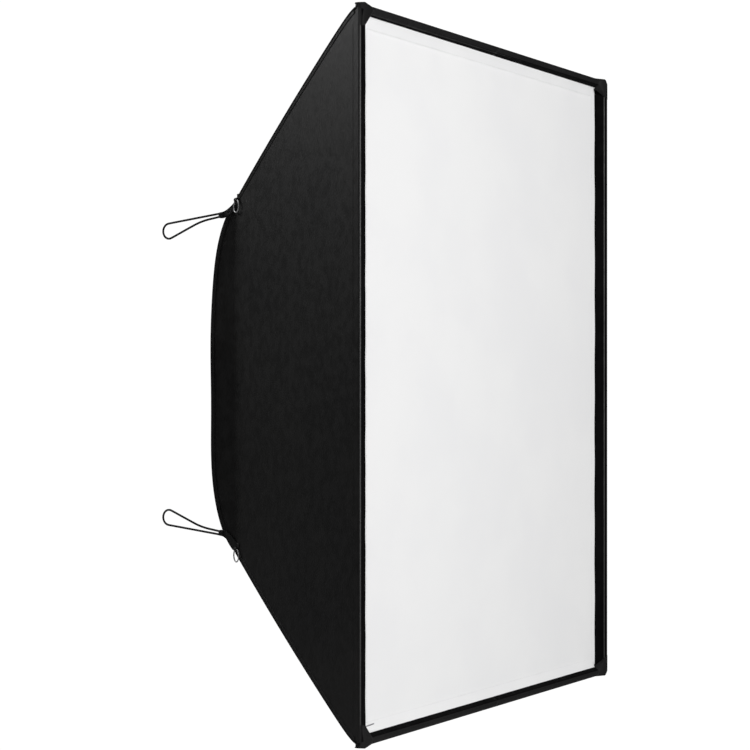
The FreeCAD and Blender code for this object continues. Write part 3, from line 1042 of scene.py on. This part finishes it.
@dataclass
class GussetCloth:
    """Half of a short side, with half of its skirt, its hem and its lining."""

    side: Side
    end: End
    rows_panel: int = 40
    rows_skirt: int = 8
    columns: int = 41
    turn_width: float = 20 * MM
    half_gap: float = 0.3 * MM
    hem_share: float = 0.93
    hem_inset: float = 3.6 * MM
    hem_lift: float = 0.3 * MM

    @property
    def wing(self) -> str:
        """Body at the seam."""
        return self.side.wing

    @property
    def body(self) -> str:
        """Body of the free cloth."""
        return f"{self.end.label}_{self.side.label}_gusset_cloth"

    def bend(self, thing: bpy.types.Object) -> None:
        """Bake a piece's placement into its mesh.

        Args:
            thing: the piece.
        """
        s = SHELL
        inward = unit(np.cross(s.end_out, s.seam_way))
        inward = inward if inward[0] > 0 else -inward
        start = mirrored(s.seam(np.array([0.5]))[0], self.side, self.end)
        stop = start + mirrored(inward, self.side, self.end) * self.turn_width
        self.wing
        self.body
        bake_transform(thing)

    def surface(self, first: float, last: float, edge: float, sink: float, skirt: bool) -> Array:
        """Grid of one face of the top left half.

        Args:
            first: share of the way where it starts.
            last: share of the way where it ends.
            edge: distance kept from the seam.
            sink: depth under the outer face.
            skirt: True to add the skirt.

        Returns:
            Points.
        """
        s = SHELL
        u = np.linspace(0, 1, self.columns)
        middle = vec(-self.half_gap, 0, 0)
        length = float((vec(0, 0, s.rear_height / 2) - s.end_front) @ s.end_run)
        rows = []
        for t in np.linspace(first, last, self.rows_panel):
            seam = s.seam(np.array([t]), 0.8 * MM)[0]
            crease = s.end_front + middle + s.end_run * (length * t)
            seam = seam + vec(edge, 0, 0)
            row = seam[None] * (1 - u[:, None]) + crease[None] * u[:, None]
            ease = math.sin(math.pi * t) * (1 - u ** 4) * u
            lift = ripple(np.full_like(u, t * length), row[:, 0], 1.2 * MM, 1.9) * ease
            lift = lift - 1.6 * MM * np.exp(-(row[:, 0] / (10 * MM)) ** 2) * math.sin(math.pi * t)
            rows.append(row + np.outer(lift - sink, s.end_out))
        if skirt:
            rear = rows[-1]
            depth = s.skirt(rear[:, 0] / (s.rear_width / 2 - 1 * MM), s.end_skirt)
            for q in np.linspace(0, 1, self.rows_skirt + 1)[1:]:
                rows.append(np.stack([rear[:, 0], q * np.maximum(depth, 0.3 * MM),
                                      np.full(self.columns, rear[-1, 2])], axis=1))
        return np.array(rows)

    def build(self) -> None:
        """Make the cloth pieces of this half."""
        s, side, end = SHELL, self.side, self.end
        name = f"{end.label}_{side.label}"
        local = self.surface(0.012, 1.0, 0.9 * MM, 0.0, True)
        points = mirrored(local, side, end)
        hint = mirrored(vec(0, 0.3, 1), side, end)
        panel = cloth(f"{name}_gusset_panel", points, hint, s.cloth, SHELL_CLOTH)
        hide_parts(f"{name}_gusset")
        self.bend(panel)
        inner = mirrored(self.surface(0.03, 0.975, 5.5 * MM, s.lining_depth, False), side, end)
        lining = cloth(f"{name}_gusset_lining_cloth", inner, -hint, s.lining, SILVER)
        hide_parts(f"{name}_gusset_lining")
        self.bend(lining)
        edge = local[-1][local[-1][:, 0] > -self.hem_share * s.rear_width / 2]
        path = edge + vec(0, -self.hem_inset, self.hem_lift)
        shape = (mirrored(a, side, end) for a in (path, vec(0, -1, 0), vec(0, 0, 1)))
        hem = sweep(f"{name}_gusset_hem", *shape, oval(8 * MM, 1.4 * MM, 12, 5.0), SHELL_CLOTH)
        self.bend(hem)


@dataclass
class FrontRim:
    """Lips beside the diffuser, sleeves round the short bars, and the corner pockets."""

    lip_thickness: float = 1.0 * MM
    end_lift: float = 0.35 * MM
    rows: int = 9
    bar_rings: Tuple[Tuple[float, float], ...] = ((27, 8.1), (1, 8.2))
    block_radius: float = 8.5 * MM
    block_ends: Tuple[float, float] = (-6.0, 7.6)

    def lip_profile(self, lift: float) -> Array:
        """Front face of the lip: inward and backward offsets from the rod's axis.

        Args:
            lift: how far it starts in front of a round sleeve.

        Returns:
            Points by two, from the sleeve to the diffuser.
        """
        s = SHELL
        inward = np.array([s.lip_in, s.lip_back])
        front = np.array([s.lip_back, -s.lip_in])
        start = inward * 0.6 * MM + front * (s.sleeve + lift)
        stop = inward * s.lip_reach + front * 1.0 * MM
        u = np.linspace(0, 1, self.rows)[:, None]
        sag = np.sin(u * math.pi) * 0.8 * MM
        return start + (stop - start) * u + front * sag

    def side_lip(self, side: Side) -> None:
        """Upright lip.

        Args:
            side: side wanted.
        """
        s = SHELL
        v = np.linspace(-1, 1, 91)
        rows = []
        for inward, back in self.lip_profile(1.6 * MM):
            half = s.bar_z - max(inward, 0.0)
            wave = 0.35 * MM * np.sin(v * 41.0) * np.sin(v * 13.0 + 1.0)
            rows.append(np.stack([np.full_like(v, s.rod_x + inward), s.rod_y + back + wave, v * half], 1))
        points = mirrored(np.array(rows), side)
        hint = mirrored(vec(s.lip_back, -s.lip_in, 0), side)
        lip = cloth(f"{side.label}_lip_band", points, hint, self.lip_thickness, LOOP_BAND)
        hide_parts(f"{side.label}_front_lip")
        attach(lip, f"{side.label}_front_frame")

    def end_lip(self, side: Side, end: End) -> None:
        """Lip along a half bar, and the sleeve round that bar.

        Args:
            side: side wanted.
            end: end wanted.
        """
        s = SHELL
        name = f"{end.label}_{side.label}"
        u = np.linspace(0, 1, 46)
        rows = []
        for inward, back in self.lip_profile(self.end_lift):
            first = s.rod_x + max(inward, 0.0)
            x = first + (-0.3 * MM - first) * u
            rise = s.top_rise(x * side.value) * end.top * max(inward, 0.0) / (s.lip_reach * s.lip_in)
            wave = 0.3 * MM * np.sin(x * 90.0) * np.sin(x * 31.0 + 1.0)
            wave *= np.clip(inward / s.lip_reach, 0, 1) ** 2
            rows.append(np.stack([x, s.rod_y + back + wave, s.bar_z - inward + rise], 1))
        points = mirrored(np.array(rows), side, end)
        hint = mirrored(vec(0, -s.lip_in, -s.lip_back), side, end)
        lip = cloth(f"{name}_lip_band", points, hint, self.lip_thickness, LOOP_BAND)
        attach(lip, f"{name}_bar")
        out_angle = math.atan2(s.end_out[2], s.end_out[1])
        angles = np.linspace(math.radians(-112), -2 * math.pi + out_angle, 24)
        x = np.linspace(s.pivot_x + 8 * MM, -0.3 * MM, 46)
        rows, hints = [], []
        for a in angles:
            way = vec(0, math.cos(a), math.sin(a))
            base = vec(0, s.rod_y, s.bar_z) + way * s.sleeve
            rows.append(np.outer(x, vec(1, 0, 0)) + base)
            hints.append(np.broadcast_to(way, (len(x), 3)))
        points = mirrored(np.array(rows), side, end)
        sleeve = cloth(f"{name}_bar_sleeve", points, mirrored(np.array(hints), side, end), 0.4 * MM,
                       HEM_CLOTH)
        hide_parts(f"{name}_front_hem")
        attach(sleeve, f"{name}_bar")
        path = np.stack([x, np.full_like(x, s.rod_y - 4.6 * MM), np.full_like(x, s.bar_z + 5.9 * MM)], 1)
        SEWING.line(f"{name}_bar", mirrored(path, side, end))

    def pocket(self, side: Side, end: End) -> None:
        """Corner pocket that covers the joint of the frame.

        Args:
            side: side wanted.
            end: end wanted.
        """
        s = SHELL
        ring = np.linspace(0, 2 * math.pi, 28, endpoint=False)
        corner = vec(s.rod_x, s.rod_y, s.bar_z)
        lip_front = (s.lip_reach * s.lip_back - 3.0 * MM) / MM
        spots = ((-9.9, -7.6, 0.6, 0.6), (-9.9, -7.8, -30, 0.4), (2.4, -8.4, 8.4, 0.6),
                 (-1.5, -9.3, -29, 0.3), (3.4, -8.9, -27, 0.3), (-6.0, 2.6, 1.0, 0.6),
                 (31.5, lip_front - 2.6, -10.5, 1.2), (15, lip_front, -24, 1.2))
        points: List[Array] = []
        for a in ring:
            round_bar, round_block = vec(0, math.cos(a), math.sin(a)), vec(math.cos(a), math.sin(a), 0)
            points += [corner + vec(x, 0, 0) * MM + round_bar * radius * MM for x, radius in self.bar_rings]
            points += [corner + vec(0, 0, z) * MM + round_block * self.block_radius for z in self.block_ends]
            small = vec(math.cos(a), 0, math.sin(a))
            points += [corner + (vec(x, y, z) + small * size) * MM for x, y, z, size in spots]
        work = bmesh.new()
        for p in points:
            work.verts.new(tuple(mirrored(p, side, end)))
        bmesh.ops.convex_hull(work, input=work.verts)
        loose = [v for v in work.verts if not v.link_faces]
        bmesh.ops.delete(work, geom=loose, context="VERTS")
        bmesh.ops.recalc_face_normals(work, faces=work.faces)
        work.normal_update()
        open_ways = ((vec(0, 1, 0), 0.45), (unit(vec(1, 0, -1.2)), 0.8), (vec(1, 0, 0), 0.93),
                     (vec(0, 0, -1), 0.8), (s.side_out, 0.7))
        gone = [face for face in work.faces
                if any(np.array(face.normal) @ mirrored(way, side, end) > limit for way, limit in open_ways)]
        bmesh.ops.delete(work, geom=gone, context="FACES")
        mesh = bpy.data.meshes.new("pocket")
        work.to_mesh(mesh)
        work.free()
        thing = placed(f"{end.label}_{side.label}_corner_pocket", mesh)
        mesh.materials.append(FINISHES.get(HEM_CLOTH, False))
        solid = thing.modifiers.new("cloth", "SOLIDIFY")
        solid.thickness = 0.5 * MM
        solid.offset = -1
        final = baked(thing, solid)
        bodies = (f"{side.label}_front_frame", f"{end.label}_{side.label}_bar")
        if any({j["parent"], j["child"]} == set(bodies) for j in frame["joints"]):
            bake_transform(thing)
        else:
            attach(thing, bodies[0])
        log.info("piece %s: %d faces", thing.name, len(final.polygons))

    def build(self) -> None:
        """Make the whole rim."""
        for side in Side:
            self.side_lip(side)
        for side, end in CORNERS:
            self.end_lip(side, end)
            self.pocket(side, end)


@dataclass
class DiffuserCloth:
    """White front cloth with its hem and pull tab."""

    gap: float = 1.2 * MM
    overlap: float = 4.5 * MM
    lean: float = 7.2 * MM
    forward: float = 1.0 * MM
    hem: float = 18 * MM
    thickness: float = 0.4 * MM
    rise_run: float = 60 * MM
    stitch_lift: float = 1.2 * MM
    columns: int = 121
    rows: int = 161

    def build(self) -> None:
        """Make the cloth, its stitches and its tab."""
        s = SHELL
        half_x = -s.rod_x - s.lip_reach * s.lip_in - self.gap
        flat_z = s.bar_z - s.lip_reach * s.lip_in - self.gap
        half_z = flat_z + self.overlap
        y = s.rod_y + s.lip_reach * s.lip_back - self.forward
        x = np.sin(np.linspace(-1, 1, self.columns) * math.pi / 2) * half_x
        z = np.sin(np.linspace(-1, 1, self.rows) * math.pi / 2) * half_z
        grid_x, grid_z = np.meshgrid(x, z)
        side_gap = half_x - np.abs(grid_x)
        end_gap = half_z - np.abs(grid_z)
        near = np.minimum(side_gap, end_gap)
        hem = 1 / (1 + np.exp((near - self.hem) / (0.5 * MM)))
        crease = np.exp(-((near - self.hem) / (2.2 * MM)) ** 2)
        waves = 0.5 * MM * np.sin(grid_x * 62.0 + 1.3 * np.sin(grid_z * 9.0)) * np.exp(-end_gap / 0.045)
        waves += 0.35 * MM * np.sin(grid_z * 47.0 + 1.1 * np.sin(grid_x * 7.0)) * np.exp(-side_gap / 0.04)
        front = y - 0.35 * MM * hem + 0.5 * MM * crease + waves + ripple(grid_x, grid_z, 0.5 * MM, 0.2)
        lip = FrontRim().lip_profile(FrontRim.end_lift)
        inward = s.bar_z - np.abs(grid_z)
        on_lip = s.rod_y + np.interp(inward, lip[:, 0], lip[:, 1]) - 0.9 * MM
        taut = 1 - np.exp(-side_gap / self.hem)
        front -= self.lean * taut * np.clip(1 - end_gap / self.hem, 0, 1) ** 1.3
        over_lip = (inward < lip[-1, 0]) & (side_gap > self.hem / 2)
        front = np.where(over_lip, np.minimum(front, on_lip), front)
        rise = s.top_rise(grid_x) * np.clip(1 - (half_z - grid_z) / self.rise_run, 0, 1)
        points = np.stack([grid_x, front, grid_z + rise], axis=-1)
        sheet = cloth("diffuser_sheet", points, vec(0, -1, 0), self.thickness, DIFFUSER)
        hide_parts("diffuser")
        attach(sheet, "diffuser_cloth")
        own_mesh(sheet)
        inset = self.hem - 2 * MM
        a, b = half_x - inset, half_z - inset
        loop = np.array([[i * a, y - self.stitch_lift, k * b]
                         for i, k in ((-1, -1), (1, -1), (1, 1), (-1, 1), (-1, -1))])
        self.tab(half_x, half_z, y)
        SEWING.line("diffuser_cloth", loop, "white")

    def tab(self, half_x: float, half_z: float, y: float) -> None:
        """Pull tab at the lower left corner.

        Args:
            half_x: half width of the cloth.
            half_z: half height of the cloth.
            y: front of the cloth.
        """
        u = np.linspace(0, 1, 9)
        x = -half_x + 3 * MM + 30 * MM * u
        z = -half_z + 10 * MM + 1.5 * MM * u ** 2
        path = np.stack([x, y - 1.5 * MM - 2.6 * MM * u, z], axis=1)
        tab = sweep("diffuser_pull_tab", path, vec(0, 0, 1), vec(0, 1, 0), oval(2.2 * MM, 1.2 * MM, 8, 3.0),
                    RIBBON)
        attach(tab, "diffuser_cloth")
        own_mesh(tab)


@dataclass
class RearCorner:
    """Webbing strap with its clip, ring loop and elastic loop at one rear corner."""

    side: Side
    end: End
    strap_width: float = 12.5 * MM
    back: float = 33 * MM
    clip: Tuple[float, float, float] = (4.6 * MM, 10 * MM, 12 * MM)
    tape_radius: float = 3.3 * MM
    bungee_radius: float = 2 * MM
    bar_radius: float = 12.5 * MM
    cord_start: float = 37 * MM
    cord_half_gap: float = 3 * MM
    bar_centre: Tuple[float, float] = (158 * MM, -24 * MM)
    cord_bend: Tuple[float, float] = (80 * MM, -9 * MM)

    @property
    def body(self) -> str:
        """Body that carries it."""
        return self.side.wing

    @property
    def drop(self) -> float:
        """Distance of the clip from the corner, towards the middle."""
        return 26 * MM if self.end is End.TOP else 36 * MM

    def strap(self) -> None:
        """Strap and clip."""
        s, side, end = SHELL, self.side, self.end
        name = f"{end.label}_{side.label}"
        x = -s.rear_width / 2 - 1.9 * MM
        clip_z = s.rear_height / 2 - self.drop
        u = np.linspace(0, 1, 22)[:, None]
        a = vec(x - 0.6 * MM, -8 * MM, s.rear_height / 2 - 4 * MM)
        b = vec(x, 4 * MM, s.rear_height / 2 - 0.46 * self.drop)
        c = vec(x, 14 * MM, s.rear_height / 2 - 0.88 * self.drop)
        d = vec(x, self.back - 3 * MM, clip_z)
        path = a * (1 - u) ** 3 + 3 * b * u * (1 - u) ** 2 + 3 * c * u ** 2 * (1 - u) + d * u ** 3
        way = unit(np.gradient(path, axis=0))
        across = unit(np.cross(way, vec(1, 0, 0)))
        out = unit(np.cross(across, way))
        strap = trim(f"{name}_strap", self.body, side, end, path, across, out,
                     oval(self.strap_width, 1.6 * MM, 14, 6.0), WEBBING)
        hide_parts(f"{side.label}_corner_webbing")
        thick, deep, wide = self.clip
        mid = vec(x - 0.7 * MM, self.back, clip_z)
        body_path = mid + np.outer(np.array([-0.5, -0.42, -0.2, 0.2, 0.42, 0.5]) * deep, vec(0, 1, 0))
        scale = np.array([0.86, 0.98, 1.0, 0.94, 0.86, 0.74])
        trim(f"{name}_clip", self.body, side, end, body_path, np.outer(scale, vec(0, 0, 1)),
             np.outer(scale, vec(1, 0, 0)), oval(wide, thick, 16, 4.0), NYLON)
        across_clip = np.outer(np.linspace(-0.36, 0.36, 5) * wide, vec(0, 0, 1))
        for letter, shift in (("a", -0.2), ("b", 0.14)):
            trim(f"{name}_clip_rib_{letter}", self.body, side, end,
                 mid + vec(-thick / 2, shift * deep, 0) + across_clip, vec(0, 1, 0), vec(1, 0, 0),
                 oval(1.6 * MM, 1.2 * MM, 8), NYLON)
        SEWING.line(self.body, mirrored(path[2:7], side, end))

    def ring_loop(self) -> None:
        """Small webbing loop that the steel ring hangs in."""
        s, side, end = SHELL, self.side, self.end
        up = 0.0 if end is End.TOP else 8 * MM
        hinge = vec(-s.rear_width / 2, 0, 0) - s.side_run * 12 * MM + s.side_out * 4.6 * MM
        hinge = hinge + vec(0, 0, end.value * s.rear_height / 2 + up)
        turn = np.radians(np.linspace(168, -150, 18))
        arc = np.stack([np.cos(turn), np.sin(turn)], axis=1) * self.tape_radius
        flat = np.array([[-3.5, 11.0], [-3.6, 8.0], [-3.65, 5.0], [-3.5, 2.8]]) * MM
        outline = np.concatenate([flat, arc])
        path = hinge + np.outer(outline[:, 0], s.side_out) + np.outer(outline[:, 1], vec(0, 0, 1))
        path = mirrored(path, side)
        across = mirrored(s.side_run, side)
        way = unit(np.gradient(path, axis=0))
        loop = sweep(f"{end.label}_{side.label}_ring_tape", path, across, unit(np.cross(way, across)),
                     oval(8 * MM, 1.1 * MM, 12, 6.0), WEBBING)
        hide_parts(f"{side.label}_ring_loops")
        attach(loop, self.body)

    def bungee(self) -> None:
        """Elastic cord from the clip, round the lamp's bar and back."""
        s, side, end = SHELL, self.side, self.end
        x = -s.rear_width / 2 - 3 * MM
        clip_z = s.rear_height / 2 - self.drop
        wrap = self.bar_radius + self.bungee_radius
        start, low, bar, bend = (np.array([y, clip_z + z]) for y, z in (
            (self.cord_start, self.cord_half_gap), (self.cord_start, -self.cord_half_gap),
            self.bar_centre, self.cord_bend))

        def touch(point: Array, sign: float) -> float:
            """Angle on the bar where a strand from a point touches it."""
            away = point - bar
            return math.atan2(away[1], away[0]) + sign * math.acos(wrap / np.linalg.norm(away))

        first, last = touch(start, -1.0), touch(bend, 1.0)
        while last > first:
            last -= 2 * math.pi
        turn = np.linspace(first, last, 15)
        round_bar = bar + wrap * np.stack([np.cos(turn), np.sin(turn)], axis=1)
        off = round_bar[-1]
        strand = start + np.outer(np.linspace(0, 1, 9)[:-1], round_bar[0] - start)
        before, after = unit(bend - off), unit(low - bend)
        cut = 0.45 * min(np.linalg.norm(bend - off), np.linalg.norm(low - bend))
        a, b = bend - before * cut, bend + after * cut
        back = off + np.outer(np.linspace(0, 1, 4)[1:-1], a - off)
        u = np.linspace(0, 1, 7)[:, None]
        curve = a * (1 - u) ** 2 + 2 * bend * u * (1 - u) + b * u ** 2
        rest = b + np.outer(np.linspace(0, 1, 4)[1:], low - b)
        flat = np.concatenate([strand, round_bar, back, curve, rest])
        points = mirrored(np.stack([np.full(len(flat), x), flat[:, 0], flat[:, 1]], axis=1), side, end)
        data = bpy.data.curves.new(f"{end.label}_{side.label}_bungee", "CURVE")
        data.dimensions = "3D"
        spline = data.splines.new("NURBS")
        spline.points.add(len(points) - 1)
        for knot, p in zip(spline.points, points):
            knot.co = (*p, 1.0)
        spline.order_u = 3
        spline.use_endpoint_u = True
        spline.resolution_u = 3
        data.bevel_depth = self.bungee_radius
        data.bevel_resolution = 3
        data.use_fill_caps = True
        data.materials.append(FINISHES.get(BUNGEE, True))
        cord = placed(data.name, data)
        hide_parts(f"{end.label}_{side.label}_bungee_loop")
        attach(cord, self.body)

    def build(self) -> None:
        """Make everything at this corner."""
        self.strap()
        self.ring_loop()
        self.bungee()


@dataclass
class Hardware:
    """Finishes of the rods, fittings and rings that come straight from the frame."""

    rules: Tuple[Tuple[str, Finish], ...] = (
        ("_ring", STEEL), ("corner_pins", PIN_STEEL), ("knuckle_pin", PIN_STEEL), ("long_rod", ALLOY),
        ("half_bar", ALLOY), ("strut_feet", NYLON), ("strut", FIBRE), ("corner_block", NYLON),
        ("bar_eye", NYLON), ("knuckle_fork", NYLON), ("knuckle_tongue", NYLON))

    def build(self) -> None:
        """Give each carried-over piece its finish."""
        for name, thing in frame["nodes"].items():
            for ending, finish in self.rules:
                if name.endswith(ending):
                    thing.data.materials.clear()
                    thing.data.materials.append(FINISHES.get(finish, False))
                    break


@dataclass
class Studio:
    """Camera, lights, floor and background."""

    camera_at: Tuple[float, float, float] = (-2.878, -2.0567, -0.0174)
    forward: Tuple[float, float] = (0.83813, 0.54547)
    lens: float = 86.99
    shift_y: float = 0.0147
    floor_z: float = -1.6
    floor_half: float = 3.0
    floor_grey: float = 0.62
    fill: float = 0.03

    def camera(self) -> None:
        """Level camera to the left of the front."""
        data = bpy.data.cameras.new("camera")
        data.lens = self.lens
        data.sensor_width = 36
        data.shift_y = self.shift_y
        data.clip_start = 0.05
        thing = placed("camera", data)
        thing.location = self.camera_at
        thing.rotation_euler = (math.pi / 2, 0, math.atan2(self.forward[1], self.forward[0]) - math.pi / 2)
        bpy.context.scene.camera = thing

    def light(self, name: str, place: Array, aim: Array, size: Tuple[float, float], power: float) -> None:
        """Soft rectangular light.

        Args:
            name: its name.
            place: where it stands.
            aim: point it faces.
            size: width and height.
            power: watts.
        """
        data = bpy.data.lights.new(name, "AREA")
        data.shape = "RECTANGLE"
        data.size, data.size_y = size
        data.energy = power
        thing = placed(name, data)
        thing.location = tuple(place)
        way = unit(aim - place)
        turn = math.atan2(way[0], -way[1])
        tilt = math.acos(max(-1.0, min(1.0, -way[2])))
        thing.rotation_euler = (tilt, 0, turn + math.pi)

    def floor(self) -> None:
        """Plain pale floor."""
        half = self.floor_half
        mesh = bpy.data.meshes.new("floor")
        corners = [(i * half, k * half, self.floor_z) for i, k in ((-1, -1), (1, -1), (1, 1), (-1, 1))]
        mesh.from_pydata(corners, [], [(0, 1, 2, 3)])
        material = bpy.data.materials.new("floor")
        material.use_nodes = True
        shader = material.node_tree.nodes["Principled BSDF"]
        shader.inputs["Base Color"].default_value = (*[self.floor_grey] * 3, 1)
        shader.inputs["Roughness"].default_value = 0.9
        mesh.materials.append(material)
        placed("floor", mesh)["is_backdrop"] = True

    def world(self) -> None:
        """White background that lights the room softly."""
        world = bpy.data.worlds.new("studio")
        world.use_nodes = True
        bpy.context.scene.world = world
        tree = world.node_tree
        n = NodeTree(tree)
        tree.nodes.clear()
        seen = n.add("ShaderNodeLightPath").outputs["Is Camera Ray"]
        strength = n.math("ADD", seen, self.fill)
        back = n.add("ShaderNodeBackground", {"Color": (1, 1, 1, 1), "Strength": strength})
        n.add("ShaderNodeOutputWorld", {"Surface": back.outputs[0]})

    def build(self) -> None:
        """Set up the picture."""
        self.camera()
        self.floor()
        self.world()
        middle, left = vec(0, -0.3, 0), vec(-0.2, 0, 0)
        self.light("front_light", vec(-1.2, -4.2, 0.8), middle, (2.0, 2.4), 161)
        self.light("rear_light", vec(-0.6, 3.6, 2.6), middle, (2.4, 1.4), 46)
        self.light("top_light", vec(-1.6, -0.4, 3.0), middle, (1.6, 1.6), 8)
        self.light("left_light", vec(-3.6, -0.6, 1.6), left, (1.0, 1.6), 8)
        bpy.context.scene.view_settings.view_transform = "Standard"


def note_size(label: str) -> List[List[float]]:
    """Bounds of the shown object as plain lists.

    Args:
        label: name for the log.

    Returns:
        Lowest and highest corner.
    """
    low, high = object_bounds()
    log.info("bounds %s: %s %s", label, list(low), list(high))
    return [[float(v) for v in low], [float(v) for v in high]]


def main() -> None:
    """Build every piece, the studio and the record of sizes."""
    before = note_size("of the frame")
    Studio().build()
    for side, end in CORNERS:
        RearCorner(side, end).build()
    for side in Side:
        SideCloth(side).build()
    for side, end in CORNERS:
        GussetCloth(side, end).build()
    FrontRim().build()
    DiffuserCloth().build()
    Hardware().build()
    SEWING.build()
    after = note_size("of the finished object")


if __name__ == "__main__":
    main()
